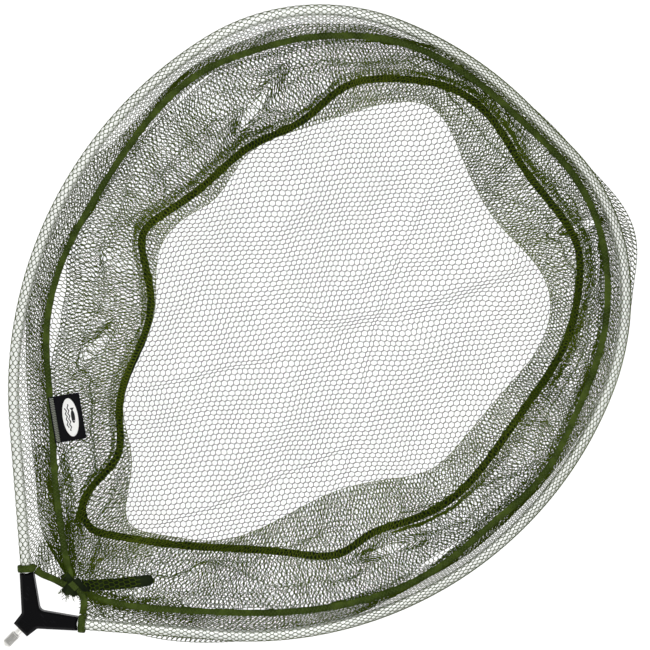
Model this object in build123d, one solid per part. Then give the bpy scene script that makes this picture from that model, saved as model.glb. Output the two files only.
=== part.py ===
"""Landing net: a screw-in yoke, a teardrop hoop and a knotless net bag laid flat inside it.

Millimetres. The origin is on the stud's axis where its thread begins. The stud points along -Y,
the hoop's far end along +Y, and +Z is up out of the open mouth. The net lies collapsed in z = -8..0.
"""
from math import asin, cos, hypot, radians, sin

from build123d import *
import os

os.makedirs("parts", exist_ok=True)

# ---- driving dimensions ----
LOW = -8.0                 # the surface the net lies on

# threaded stud, 3/8 inch BSF
THREAD_R = 9.525 / 2
THREAD_LENGTH = 12.7
THREAD_PITCH = 25.4 / 20
THREAD_DEPTH = 0.81
CREST = 0.42
BLANK_R = 3.3
BLANK_LENGTH = 6.3
TIP_LENGTH = 3.2
SHANK_R = 4.0
SHANK_LENGTH = 13.0
SHANK_HEAD_R = 5.6

# moulded yoke
FACE_Y = BLANK_LENGTH
YOKE_HALF = 8.0
NECK_HALF = 9.35
ROOT = (11.0, 19.1)
CROTCH_Y = 33.6
CROTCH_FILLET = 6.0
BEVEL = 3.4
ARM_ANGLE = 49.5
ARM_TIP = (36.0, 50.8)
ARM_WIDTH = 13.5
SOCKET_DEPTH = 22.0
SOCKET_CLEARANCE = 0.05

# hoop tube
TUBE_R = 5.0
TUBE_WALL = 1.1
RIGHT_STRAIGHT, LEFT_STRAIGHT = 141.0, 149.0
RIGHT_BENDS = [(385.0, -23.5), (262.0, -50.7), (196.0, -90.0)]   # radius, heading reached
LEFT_BENDS = [(411.0, -13.2), (212.0, -65.7)]                    # then one more to meet the top

# net, tape and thread, as thin solids
SLEEVE_IN, SLEEVE_OUT = 5.35, 6.35
WEB, WEB_FROM, FIN_TO = (-3.0, -1.2), 4.95, 6.6
RIM_TAPE_WIDTH, RIM_TAPE = 6.6, (-3.1, -0.7)
BASE_TAPE_WIDTH, BASE_TAPE = 8.0, (LOW, -6.5)
BASE_SHEET = (LOW, -7.0)
WALL_TOP = -3.25
FOLD_UNDERSIDE = -6.1
BULGE_TOP = -6.75
THREAD_BAND = 0.22
HEM_WIDTH = 7.5
HEM_RX, HEM_RZ, HEM_BORE = 9.2, 7.8, 6.5
GAP = 0.3

# label
LABEL_AT = (-126.0, 175.5)
LABEL_ANGLE = 144.6
LABEL_LENGTH, LABEL_WIDTH, LABEL_SEWN = 46.5, 31.5, 7.0
LABEL_Z, LABEL_THICK = -0.35, 0.6
MOTIF_RX, MOTIF_RY, MOTIF_THICK = 19.5, 7.75, 0.18

# ---- outlines the sewn net settles into, as laid down ----
RIM_LINE = [
    (-17, 87), (-46, 108), (-82, 136), (-119, 169), (-161, 205), (-194, 236), (-231, 295),
    (-257, 381), (-270, 455), (-266, 530), (-247, 576), (-220, 622), (-187, 659), (-151, 687),
    (-111, 705), (-66, 716), (-6, 720), (56, 720), (111, 706), (154, 680), (195, 639),
    (218, 603), (242, 547), (261, 480), (259, 417), (252, 347), (230, 284), (200, 236),
    (151, 180), (99, 132), (48, 91), (27, 80),
]
BASE_LINE = [
    (-25, 126), (-41, 133), (-51, 158), (-55, 197), (-85, 229), (-103, 256), (-119, 296),
    (-138, 327), (-173, 353), (-194, 372), (-193, 403), (-185, 451), (-180, 510), (-161, 567),
    (-155, 620), (-122, 664), (-67, 698), (-20, 700), (29, 689), (92, 681), (120, 673),
    (155, 641), (184, 593), (199, 528), (211, 459), (213, 403), (194, 349), (181, 322),
    (174, 288), (137, 250), (76, 197), (38, 165), (1, 138),
]
FOLD_LINE = [
    (3, 157), (-38, 200), (-82, 232), (-109, 275), (-129, 323), (-172, 375), (-176, 410),
    (-168, 448), (-176, 498), (-157, 557), (-126, 617), (-108, 645), (-82, 665), (-23, 653),
    (53, 631), (104, 629), (133, 620), (164, 582), (173, 523), (179, 451), (178, 412),
    (149, 365), (121, 316), (99, 248), (76, 207), (36, 174),
]
BULGE_LINE = [
    (-22, 79), (-52, 88), (-88, 115), (-135, 153), (-173, 186), (-209, 221), (-236, 250),
    (-258, 285), (-272, 320), (-283, 349), (-286, 378), (-280, 415), (-280, 449), (-280, 488),
    (-277, 528), (-267, 562), (-255, 591), (-236, 626), (-208, 656), (-178, 682), (-143, 699),
    (-106, 719), (-62, 732), (-12, 738), (29, 739), (79, 736), (122, 733), (148, 725),
    (168, 711), (188, 687), (212, 656), (231, 627), (244, 596), (255, 555), (266, 491),
    (268, 435), (264, 376), (252, 328), (233, 267), (211, 219), (186, 180), (163, 151),
    (126, 113), (97, 91), (64, 76), (38, 73),
]
HEM_LEFT = [(-31.5, 58.5), (-23, 60.5), (-13, 64.5), (-3, 67.5), (6, 71)]
HEM_RIGHT = [(33, 60.5), (29, 66), (24, 71), (17, 73.5), (8, 74)]
TAIL = [(12, 80), (30, 99), (53, 128)]
TAIL_WIDTH = 12.0
THROAT_AT, THROAT_RX, THROAT_RY = (6.5, 73.5), 11.0, 8.5


# ---- helpers ----
def heading(degrees):
    """Unit vector this many degrees from +Y towards +X."""
    return Vector(sin(radians(degrees)), cos(radians(degrees)), 0)


def slab(face, low, high):
    """A flat face in z = 0 raised into a plate between two heights."""
    solid = extrude(face, amount=high - low, dir=(0, 0, 1))
    return Pos(0, 0, low) * solid


def curve(points, closed):
    return Spline([Vector(*p) for p in points], periodic=closed)


def beside(points, distance, closed=True, steps=None):
    """The curve through the points, moved sideways: positive is to the left of travel."""
    line = curve(points, closed)
    steps = steps or 3 * len(points)
    count = steps if closed else steps + 1
    moved = []
    for k in range(count):
        at, along = line @ (k / steps), line % (k / steps)
        moved.append((at.X - along.Y * distance, at.Y + along.X * distance))
    return moved


def region(points, distance=0.0):
    """The area inside a closed outline, grown (outlines run clockwise, so left is outwards)."""
    line = curve(beside(points, distance), True) if distance else curve(points, True)
    return make_face(line)


def ribbon(points, width):
    """A flat strip of even width along an open line."""
    a = beside(points, width / 2, closed=False)
    b = beside(points, -width / 2, closed=False)
    sides = curve(a, False), curve(b, False)
    ends = Line(a[0], b[0]), Line(a[-1], b[-1])
    return make_face([*sides, *ends])


def band(points, width):
    """A flat closed strip of even width along a closed line."""
    return region(points, width / 2) - region(points, -width / 2)


def save(solid, name):
    solid.label = name
    export_step(solid, f"parts/{name}.step")


# ---- hoop centreline: bent by hand, so its two sides differ a little ----
def reach(straight, bends, inset):
    """Where a side ends, counted from the yoke's arm tip outwards and up to the far end."""
    inward = Vector(-cos(radians(ARM_ANGLE)), sin(radians(ARM_ANGLE)), 0)
    end = Vector(*ARM_TIP) + inward * inset + heading(ARM_ANGLE) * straight
    now = ARM_ANGLE
    for radius, then in bends:
        a, b = radians(now), radians(then)
        end += Vector(cos(b) - cos(a), sin(a) - sin(b), 0) * (radius - inset)
        now = then
    return end


def hoop_line(start, inset=0.0):
    """Right to left, beginning start mm beyond the yoke's right arm (negative is inside it)."""
    right_end = reach(RIGHT_STRAIGHT, RIGHT_BENDS, 0)
    left_end = reach(LEFT_STRAIGHT, LEFT_BENDS, 0)
    last_to = LEFT_BENDS[-1][1]
    last_r = (right_end.Y - left_end.Y) / (1 + sin(radians(last_to)))
    left_bends = LEFT_BENDS + [(last_r, -90.0)]
    left_end = reach(LEFT_STRAIGHT, left_bends, inset)
    way, tip = heading(ARM_ANGLE), reach(0, [], inset)
    parts = [Line(tip + way * start, tip + way * RIGHT_STRAIGHT)]
    now = ARM_ANGLE
    for radius, then in RIGHT_BENDS:
        parts.append(JernArc(parts[-1] @ 1, parts[-1] % 1, radius - inset, now - then))
        now = then
    top = parts[-1] @ 1
    parts.append(Line(top, (-left_end.X, top.Y)))
    for k in range(len(left_bends) - 1, -1, -1):
        radius, then = left_bends[k]
        before = left_bends[k - 1][1] if k else ARM_ANGLE
        parts.append(JernArc(parts[-1] @ 1, parts[-1] % 1, radius - inset, before - then))
    parts.append(Line(parts[-1] @ 1, (parts[-1] @ 1) + (parts[-1] % 1) * (LEFT_STRAIGHT - start)))
    return Wire(parts)


def along_hoop(section, start):
    line = hoop_line(start)
    plane = Plane(origin=line @ 0, x_dir=(0, 0, 1), z_dir=line % 0)
    return sweep(plane * section, path=line)


# ---- threaded stud ----
outline = [(0, SHANK_LENGTH)]
outline += [(SHANK_HEAD_R, SHANK_LENGTH), (SHANK_HEAD_R, SHANK_LENGTH - 2.5)]
outline += [(SHANK_R, SHANK_LENGTH - 2.5), (SHANK_R, 7.0), (SHANK_R - 0.8, 6.2), (SHANK_R - 0.8, 4.6)]
outline += [(SHANK_R, 3.8), (SHANK_R, 0.8), (BLANK_R, 0.8)]
outline = [(x, y + FACE_Y) for x, y in outline]
outline += [(BLANK_R, 0.6), (THREAD_R, 0)]
rings = int(THREAD_LENGTH / THREAD_PITCH)
for ring in range(rings):
    top = -ring * THREAD_PITCH
    flank = (THREAD_PITCH - CREST) / 2
    outline += [(THREAD_R, top - CREST), (THREAD_R - THREAD_DEPTH, top - CREST - flank)]
    outline += [(THREAD_R, top - THREAD_PITCH)]
end = -rings * THREAD_PITCH
outline += [(THREAD_R, end - CREST)]
core = Polyline(*outline)
nose_r = (THREAD_R ** 2 + TIP_LENGTH ** 2) / (2 * TIP_LENGTH)
bend = asin(THREAD_R / nose_r) / 2
low = end - CREST - TIP_LENGTH
nose = ThreePointArc(
    (THREAD_R, end - CREST), (nose_r * sin(bend), low + nose_r * (1 - cos(bend))), (0, low)
)
spine = Line((0, low), (0, SHANK_LENGTH + FACE_Y))
stud = revolve(make_face([*core.edges(), nose, spine]), axis=Axis.Y)
save(stud, "handle_stud")

# ---- yoke ----
way, side = heading(ARM_ANGLE), Vector(cos(radians(ARM_ANGLE)), -sin(radians(ARM_ANGLE)), 0)
tip = Vector(*ARM_TIP)
outer, inner = tip + side * ARM_WIDTH / 2, tip - side * ARM_WIDTH / 2
right = [(NECK_HALF, FACE_Y), ROOT, (outer.X, outer.Y), (inner.X, inner.Y)]
left = [(-x, y) for x, y in reversed(right)]
plan = make_face(Polyline(*right, (0, CROTCH_Y), *left, close=True))
yoke = Pos(0, 0, -YOKE_HALF) * extrude(plan, amount=2 * YOKE_HALF, dir=(0, 0, 1))


def uprights(x, y):
    return [
        e for e in yoke.edges().filter_by(Axis.Z)
        if hypot(abs(e.center().X) - x, e.center().Y - y) < 0.5
    ]


yoke = fillet(uprights(0, CROTCH_Y), CROTCH_FILLET)
yoke = fillet(uprights(*ROOT), 3.0)
rims = [e for e in yoke.edges() if abs(abs(e.center().Z) - YOKE_HALF) < 0.01]
yoke = chamfer(rims, BEVEL)
yoke = fillet(uprights(outer.X, outer.Y) + uprights(inner.X, inner.Y), 1.2)
yoke = fillet(uprights(NECK_HALF, FACE_Y), 1.2)
bore = along_hoop(Circle(TUBE_R + SOCKET_CLEARANCE), -SOCKET_DEPTH)
near = Pos(0, 40, 0) * Box(120, 110, 40)
yoke = yoke - (bore & near) - stud
save(yoke, "yoke_block")

# ---- hoop ----
hoop = along_hoop(Circle(TUBE_R) - Circle(TUBE_R - TUBE_WALL), -SOCKET_DEPTH + 0.2)
save(hoop, "hoop_tube")

# ---- throat, where tape, hems and net are drawn together and bar-tacked ----
throat_face = Pos(*THROAT_AT) * Ellipse(THROAT_RX, THROAT_RY)
throat_room = Pos(*THROAT_AT) * Ellipse(THROAT_RX + 0.15, THROAT_RY + 0.15)
throat = slab(throat_face, -7.2, 0.6)
throat = chamfer([e for e in throat.edges() if abs(e.center().Z - 0.6) < 0.01], 1.0)
save(throat, "throat_gather")

# ---- hems binding the sleeve's two cut ends ----
hem_faces, hems = {}, {}
for name, line, sign in (("left", HEM_LEFT, -1), ("right", HEM_RIGHT, 1)):
    mouth = Vector(sign * ARM_TIP[0], ARM_TIP[1], 0)
    run = Vector(sign * way.X, way.Y, 0)
    plane = Plane(origin=mouth + run * 0.4, x_dir=(0, 0, 1), z_dir=run)
    cuff = extrude(plane * (Ellipse(HEM_RZ, HEM_RX) - Circle(HEM_BORE)), amount=HEM_WIDTH)
    strip = ribbon(line, HEM_WIDTH)
    hem_faces[name] = strip
    flat = slab(strip - throat_room, RIM_TAPE[0], RIM_TAPE[1])
    room = extrude(plane * Circle(HEM_BORE), amount=60, both=True)
    hems[name] = (cuff + flat) - room - yoke
    save(hems[name], f"sleeve_hem_{name}")

# ---- rim tape and its zigzag seam ----
rim_face = ribbon(RIM_LINE, RIM_TAPE_WIDTH) - throat_room - hem_faces["left"] - hem_faces["right"]
save(slab(rim_face, *RIM_TAPE), "rim_tape")
seam_face = ribbon(RIM_LINE[1:-1], RIM_TAPE_WIDTH - 2.4)
save(slab(seam_face, RIM_TAPE[1], RIM_TAPE[1] + THREAD_BAND), "rim_stitching")

# ---- sleeve: one strip of netting folded round the hoop and caught under the rim tape ----
fin = Pos((WEB[0] + WEB[1]) / 2, -(WEB_FROM + FIN_TO) / 2) * Rectangle(WEB[1] - WEB[0], FIN_TO - WEB_FROM)
tube = along_hoop(Circle(SLEEVE_OUT) + fin - Circle(SLEEVE_IN), 0.5)
edge = hoop_line(1.0, FIN_TO - 0.4)
closing = Polyline(edge @ 1, (6.5, 70), edge @ 0)
web_face = make_face([*edge.edges(), *closing.edges()])
mouth_face = make_face([curve(RIM_LINE, False), Line(RIM_LINE[0], RIM_LINE[-1])])
strip = ribbon(RIM_LINE, RIM_TAPE_WIDTH + 0.4)
tail_face = ribbon(TAIL, TAIL_WIDTH) + Pos(*TAIL[-1]) * Circle(TAIL_WIDTH / 2)
web_face = web_face - mouth_face - strip - throat_room - tail_face
sleeve = tube + slab(web_face, *WEB)
sleeve = sleeve - hems["left"] - hems["right"]
save(max(sleeve.solids(), key=lambda s: s.volume), "sleeve_net")

# ---- wall netting, folded in a flat zigzag between rim tape and base tape ----
under_tape = region(RIM_LINE, RIM_TAPE_WIDTH / 2)
inner_wall = slab(under_tape - region(BASE_LINE, BASE_TAPE_WIDTH / 2 + GAP), LOW, WALL_TOP)
fold = slab(region(BASE_LINE, BASE_TAPE_WIDTH / 2 + GAP + 0.2) - region(FOLD_LINE),
            FOLD_UNDERSIDE, WALL_TOP)
bulge = slab(region(BULGE_LINE) - region(RIM_LINE, RIM_TAPE_WIDTH / 2 - 0.4), LOW, BULGE_TOP)
wall = inner_wall + fold + bulge - slab(throat_room, LOW, 2)
save(wall, "wall_net")

# ---- base netting, its tape and seam ----
save(slab(region(BASE_LINE, -BASE_TAPE_WIDTH / 2 - 0.02), *BASE_SHEET), "base_net")
save(slab(band(BASE_LINE, BASE_TAPE_WIDTH), *BASE_TAPE), "base_tape")
base_seam = slab(band(BASE_LINE, BASE_TAPE_WIDTH - 4.0), BASE_TAPE[1], BASE_TAPE[1] + THREAD_BAND)
save(base_seam, "base_stitching")

# ---- tail of the rim tape, folded back over the net beside the throat ----
rim_room = ribbon(RIM_LINE, RIM_TAPE_WIDTH + 0.4)
tail = slab(tail_face - throat_room - rim_room, WALL_TOP + 0.1, WALL_TOP + 1.7)
save(tail - hems["left"] - hems["right"], "tape_tail")

# ---- woven label: a sewn strip on the tape and a free flap with an oval motif ----
place = Pos(LABEL_AT[0], LABEL_AT[1], LABEL_Z) * Rot(0, 0, LABEL_ANGLE - 180)
flap_width = LABEL_WIDTH - LABEL_SEWN - 0.1
sewn = place * Pos(0, LABEL_SEWN / 2, LABEL_THICK / 2) * Box(LABEL_LENGTH, LABEL_SEWN, LABEL_THICK)
flap = Pos(0, LABEL_WIDTH - flap_width / 2, LABEL_THICK / 2) * Box(
    LABEL_LENGTH, flap_width, LABEL_THICK
)
far_edge = [e for e in flap.edges().filter_by(Axis.Z) if e.center().Y > LABEL_WIDTH - 1]
flap = place * fillet(far_edge, 1.0)
save(sewn, "label_sewn_edge")
save(flap, "label_flap")
oval = Pos(0, LABEL_SEWN + flap_width / 2, LABEL_THICK) * Ellipse(MOTIF_RX, MOTIF_RY)
save(place * extrude(oval, amount=MOTIF_THICK, dir=(0, 0, 1)), "label_motif")
stitch = Pos(0, LABEL_SEWN / 2, LABEL_THICK + THREAD_BAND / 2) * Box(
    LABEL_LENGTH - 2, LABEL_SEWN - 2.5, THREAD_BAND
)
save(place * stitch, "label_stitching")
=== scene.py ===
import math

import bmesh
import bpy
import numpy as np
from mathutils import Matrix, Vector, noise


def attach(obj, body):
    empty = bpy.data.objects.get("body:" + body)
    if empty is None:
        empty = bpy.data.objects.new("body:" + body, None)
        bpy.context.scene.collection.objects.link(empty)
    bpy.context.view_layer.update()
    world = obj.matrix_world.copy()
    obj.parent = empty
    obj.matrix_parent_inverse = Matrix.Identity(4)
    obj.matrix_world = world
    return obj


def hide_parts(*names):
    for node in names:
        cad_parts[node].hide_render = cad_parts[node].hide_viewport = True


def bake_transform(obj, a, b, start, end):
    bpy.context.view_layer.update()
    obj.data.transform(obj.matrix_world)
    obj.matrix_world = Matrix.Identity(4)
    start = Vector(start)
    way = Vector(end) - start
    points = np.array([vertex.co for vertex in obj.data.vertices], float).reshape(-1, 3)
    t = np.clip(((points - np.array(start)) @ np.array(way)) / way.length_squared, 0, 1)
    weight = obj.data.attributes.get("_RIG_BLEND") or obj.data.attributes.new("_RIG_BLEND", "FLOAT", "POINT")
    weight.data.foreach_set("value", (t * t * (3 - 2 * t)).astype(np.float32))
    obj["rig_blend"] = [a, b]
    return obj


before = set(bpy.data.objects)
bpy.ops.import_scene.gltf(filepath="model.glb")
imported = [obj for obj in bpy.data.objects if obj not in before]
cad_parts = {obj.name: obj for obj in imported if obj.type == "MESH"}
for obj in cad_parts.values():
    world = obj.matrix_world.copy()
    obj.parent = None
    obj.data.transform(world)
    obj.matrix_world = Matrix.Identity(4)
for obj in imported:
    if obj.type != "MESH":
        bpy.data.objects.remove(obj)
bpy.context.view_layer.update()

MM = 0.001
LOW = -8.0
TUBE_R = 5.0
FLOOR_DROP = 127.0
# yarn and thread sections, half width and half thickness in millimetres
BASE_YARN, WALL_YARN, SLEEVE_YARN = (0.33, 0.26), (0.46, 0.03), (0.31, 0.24)
SEAM_THREAD = (0.24, 0.2)
# relative thickness of a cell's joints and legs, and a joint's half length in cells
BASE_HEAVY, WALL_HEAVY, SLEEVE_HEAVY = (1.35, 0.86), (1.25, 0.88), (1.2, 0.9)
BASE_JOINT, WALL_JOINT, SLEEVE_JOINT = 0.3, 0.28, 0.2
BASE_CELLS, SLEEVE_CELLS = (112, 150), (14, 480)
SLEEVE_CUT = (62.0, 2050.0)

# ---- outlines, in millimetres ----
ARM_ANGLE, ARM_TIP = 49.5, (36.0, 50.8)
RIGHT_STRAIGHT, LEFT_STRAIGHT = 141.0, 149.0
RIGHT_BENDS = [(385.0, -23.5), (262.0, -50.7), (196.0, -90.0)]
LEFT_BENDS = [(411.0, -13.2), (212.0, -65.7)]
RIM_LINE = [
    (-17, 87), (-46, 108), (-82, 136), (-119, 169), (-161, 205), (-194, 236), (-231, 295),
    (-257, 381), (-270, 455), (-266, 530), (-247, 576), (-220, 622), (-187, 659), (-151, 687),
    (-111, 705), (-66, 716), (-6, 720), (56, 720), (111, 706), (154, 680), (195, 639),
    (218, 603), (242, 547), (261, 480), (259, 417), (252, 347), (230, 284), (200, 236),
    (151, 180), (99, 132), (48, 91), (27, 80),
]
BASE_LINE = [
    (-25, 126), (-41, 133), (-51, 158), (-55, 197), (-85, 229), (-103, 256), (-119, 296),
    (-138, 327), (-173, 353), (-194, 372), (-193, 403), (-185, 451), (-180, 510), (-161, 567),
    (-155, 620), (-122, 664), (-67, 698), (-20, 700), (29, 689), (92, 681), (120, 673),
    (155, 641), (184, 593), (199, 528), (211, 459), (213, 403), (194, 349), (181, 322),
    (174, 288), (137, 250), (76, 197), (38, 165), (1, 138),
]
FOLD_LINE = [
    (3, 157), (-38, 200), (-82, 232), (-109, 275), (-129, 323), (-172, 375), (-176, 410),
    (-168, 448), (-176, 498), (-157, 557), (-126, 617), (-108, 645), (-82, 665), (-23, 653),
    (53, 631), (104, 629), (133, 620), (164, 582), (173, 523), (179, 451), (178, 412),
    (149, 365), (121, 316), (99, 248), (76, 207), (36, 174),
]
BULGE_LINE = [
    (-22, 79), (-52, 88), (-88, 115), (-135, 153), (-173, 186), (-209, 221), (-236, 250),
    (-258, 285), (-272, 320), (-283, 349), (-286, 378), (-280, 415), (-280, 449), (-280, 488),
    (-277, 528), (-267, 562), (-255, 591), (-236, 626), (-208, 656), (-178, 682), (-143, 699),
    (-106, 719), (-62, 732), (-12, 738), (29, 739), (79, 736), (122, 733), (148, 725),
    (168, 711), (188, 687), (212, 656), (231, 627), (244, 596), (255, 555), (266, 491),
    (268, 435), (264, 376), (252, 328), (233, 267), (211, 219), (186, 180), (163, 151),
    (126, 113), (97, 91), (64, 76), (38, 73),
]
HEM_LEFT = [(-31.5, 58.5), (-23, 60.5), (-13, 64.5), (-3, 67.5), (6, 71)]
HEM_RIGHT = [(33, 60.5), (29, 66), (24, 71), (17, 73.5), (8, 74)]
TAIL = [(12, 80), (30, 99), (55, 130)]
LABEL_AT, LABEL_ANGLE = (-126.0, 175.5), 144.6
LABEL_LENGTH, LABEL_WIDTH, LABEL_SEWN = 46.5, 31.5, 7.0


# ---- curves ----
def spline(points, closed, per=24):
    """A smooth line through the points, as evenly spaced samples."""
    p = np.array(points, float)
    n = len(p)
    q = np.vstack([p, p[:1]]) if closed else p
    h = np.maximum(np.linalg.norm(np.diff(q, axis=0), axis=1), 1e-9)
    A = np.zeros((n, n))
    B = np.zeros((n, p.shape[1]))
    if closed:
        for i in range(n):
            a, b = h[i - 1], h[i]
            A[i, (i - 1) % n] += a
            A[i, i] += 2 * (a + b)
            A[i, (i + 1) % n] += b
            B[i] = 6 * ((q[i + 1] - q[i]) / b - (p[i] - p[i - 1]) / a)
    else:
        A[0, 0] = A[-1, -1] = 1
        for i in range(1, n - 1):
            a, b = h[i - 1], h[i]
            A[i, i - 1], A[i, i], A[i, i + 1] = a, 2 * (a + b), b
            B[i] = 6 * ((p[i + 1] - p[i]) / b - (p[i] - p[i - 1]) / a)
    M = np.linalg.solve(A, B)
    out = []
    for i in range(len(q) - 1):
        t = np.linspace(0, 1, per, endpoint=False)[:, None]
        m0, m1 = M[i], M[(i + 1) % n]
        k = h[i] ** 2 / 6
        out.append(
            (1 - t) * q[i] + t * q[i + 1] + k * (((1 - t) ** 3 - (1 - t)) * m0 + (t ** 3 - t) * m1)
        )
    out = np.vstack(out + [q[-1:]])
    return Run(out, closed)


class Run:
    """A line that can be asked for its point and direction at any distance."""

    def __init__(self, points, closed):
        self.p = np.array(points, float)
        self.closed = closed
        step = np.linalg.norm(np.diff(self.p, axis=0), axis=1)
        self.s = np.concatenate([[0], np.cumsum(step)])
        self.length = self.s[-1]

    def at(self, s):
        s = np.asarray(s, float)
        s = s % self.length if self.closed else np.clip(s, 0, self.length)
        return np.stack([np.interp(s, self.s, self.p[:, k]) for k in range(self.p.shape[1])], -1)

    def along(self, s, d=1.5):
        s = np.asarray(s, float)
        if not self.closed:
            s = np.clip(s, d, self.length - d)
        t = self.at(s + d) - self.at(s - d)
        return t / np.maximum(np.linalg.norm(t, axis=-1, keepdims=True), 1e-9)

    def left(self, s, d=1.5):
        t = self.along(s, d)
        return np.stack([-t[..., 1], t[..., 0]], -1)


def inside(run, xy):
    """Which points a closed line holds."""
    xy = np.asarray(xy, float)
    a = run.p[:-1:3, :2]
    b = np.roll(a, -1, axis=0)
    hits = np.zeros(len(xy), int)
    for (x0, y0), (x1, y1) in zip(a, b):
        if y0 == y1:
            continue
        cross = ((y0 > xy[:, 1]) != (y1 > xy[:, 1]))
        x = (x1 - x0) * (xy[:, 1] - y0) / (y1 - y0) + x0
        hits += cross & (xy[:, 0] < x)
    return hits % 2 == 1


def heading(degrees):
    return np.array([math.sin(math.radians(degrees)), math.cos(math.radians(degrees))])


def hoop_side(straight, bends, n=90):
    way = heading(ARM_ANGLE)
    pts = [np.array(ARM_TIP) + way * t for t in np.linspace(-21, straight, 60)]
    now, here = ARM_ANGLE, pts[-1]
    for radius, then in bends:
        a, b = math.radians(now), math.radians(then)
        centre = here + radius * np.array([-math.cos(a), math.sin(a)])
        turn = np.linspace(a, b, n)[1:]
        pts += list(centre + radius * np.stack([np.cos(turn), -np.sin(turn)], -1))
        now, here = then, pts[-1]
    return np.array(pts)


right = hoop_side(RIGHT_STRAIGHT, RIGHT_BENDS)
short = hoop_side(LEFT_STRAIGHT, LEFT_BENDS)
last = (right[-1][1] - short[-1][1]) / (1 + math.sin(math.radians(LEFT_BENDS[-1][1])))
left = hoop_side(LEFT_STRAIGHT, LEFT_BENDS + [(last, -90.0)]) * [-1, 1]
HOOP = Run(np.vstack([right, np.linspace(right[-1], left[-1], 12)[1:-1], left[::-1]]), False)
RIM = spline([(2, 75.5), *RIM_LINE, (12, 75)], False)
BASE, FOLD, BULGE = (spline(line, True) for line in (BASE_LINE, FOLD_LINE, BULGE_LINE))


def wobble(xy, scale, seed):
    """Smooth random numbers, about -1 to 1, over the plane."""
    return np.array([noise.noise(Vector((x / scale, y / scale, seed))) * 1.6 for x, y in xy])


# ---- materials ----
class Wire:
    """A shader socket that can be added, multiplied and so on."""

    def __init__(self, tree, out):
        self.tree, self.out = tree, out

    def do(self, kind, other=None):
        n = self.tree.nodes.new("ShaderNodeMath")
        n.operation = kind
        for k, v in enumerate((self, other)):
            if isinstance(v, Wire):
                self.tree.links.new(v.out, n.inputs[k])
            elif v is not None:
                n.inputs[k].default_value = v
        return Wire(self.tree, n.outputs[0])

    def __add__(self, o): return self.do("ADD", o)
    __radd__ = __add__
    def __sub__(self, o): return self.do("SUBTRACT", o)
    def __rsub__(self, o): return (self * -1.0) + o
    def __mul__(self, o): return self.do("MULTIPLY", o)
    __rmul__ = __mul__
    def __truediv__(self, o): return self.do("DIVIDE", o)
    def sin(self): return self.do("SINE")
    def abs(self): return self.do("ABSOLUTE")
    def wave(self): return self.do("FRACT")
    def least(self, o): return self.do("MINIMUM", o)
    def most(self, o): return self.do("MAXIMUM", o)
    def over(self, o): return self.do("GREATER_THAN", o)

    def between(self, a, b, c=0.0, d=1.0):
        n = self.tree.nodes.new("ShaderNodeMapRange")
        n.interpolation_type = "SMOOTHSTEP"
        self.tree.links.new(self.out, n.inputs["Value"])
        for name, v in (("From Min", a), ("From Max", b), ("To Min", c), ("To Max", d)):
            n.inputs[name].default_value = v
        return Wire(self.tree, n.outputs["Result"])


class Paint:
    """A material with one Principled shader and helpers for its patterns."""

    def __init__(self, name, color, roughness=0.5, metallic=0.0, **more):
        self.mat = bpy.data.materials.new(name)
        self.mat.use_nodes = True
        self.tree = self.mat.node_tree
        self.bsdf = self.tree.nodes["Principled BSDF"]
        self.set("Base Color", (*color, 1.0))
        self.set("Roughness", roughness)
        self.set("Metallic", metallic)
        for key, value in more.items():
            self.set(key.replace("_", " ").title().replace("Ior", "IOR"), value)
        self.mat.diffuse_color = (*color, 1.0)

    def set(self, key, value):
        if isinstance(value, Wire):
            self.tree.links.new(value.out, self.bsdf.inputs[key])
        else:
            self.bsdf.inputs[key].default_value = value

    def node(self, kind, out=0, **inputs):
        n = self.tree.nodes.new("ShaderNode" + kind)
        for key, value in inputs.items():
            name = key.replace("_", " ")
            if name in n.inputs:
                if isinstance(value, Wire):
                    self.tree.links.new(value.out, n.inputs[name])
                else:
                    n.inputs[name].default_value = value
            else:
                setattr(n, key, value)
        return Wire(self.tree, n.outputs[out])

    def place(self, kind="Object"):
        return self.node("TexCoord", kind)

    def axes(self, vector):
        return [self.node("SeparateXYZ", k, Vector=vector) for k in range(3)]

    def grain(self, vector, scale, detail=2.0, rough=0.5):
        return self.node("TexNoise", "Fac", Vector=vector, Scale=scale, Detail=detail,
                         Roughness=rough)

    def stretch(self, vector, x, y, z):
        return self.node("Mapping", 0, Vector=vector, Scale=(x, y, z))

    def mix(self, amount, a, b):
        n = self.tree.nodes.new("ShaderNodeMix")
        n.data_type = "RGBA"
        self.tree.links.new(amount.out, n.inputs[0])
        for slot, v in ((n.inputs[6], a), (n.inputs[7], b)):
            if isinstance(v, Wire):
                self.tree.links.new(v.out, slot)
            else:
                slot.default_value = (*v, 1.0)
        return Wire(self.tree, n.outputs[2])

    def bump(self, height, distance, strength=1.0):
        n = self.tree.nodes.new("ShaderNodeBump")
        n.inputs["Distance"].default_value = distance
        n.inputs["Strength"].default_value = strength
        self.tree.links.new(height.out, n.inputs["Height"])
        if self.bsdf.inputs["Normal"].is_linked:
            before = self.bsdf.inputs["Normal"].links[0].from_socket
            self.tree.links.new(before, n.inputs["Normal"])
        self.set("Normal", Wire(self.tree, n.outputs[0]))


def net_paint(name, color, highlight_tone):
    m = Paint(name, color, 0.85, 0.0, Specular_Ior_Level=0.03)
    at = m.place()
    cloud = m.grain(at, 9.0, 3.0)
    # large random patches shift the colour towards the second, lighter tone, a painted highlight of threads
    # catching the light
    m.set("Base Color", m.mix(cloud.between(0.35, 0.7), color, highlight_tone))
    twist = m.node("TexWave", "Fac", Vector=at, Scale=900.0, Distortion=1.2,
                   bands_direction="DIAGONAL")
    m.bump(twist, 0.0002, 0.8)
    return m


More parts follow.
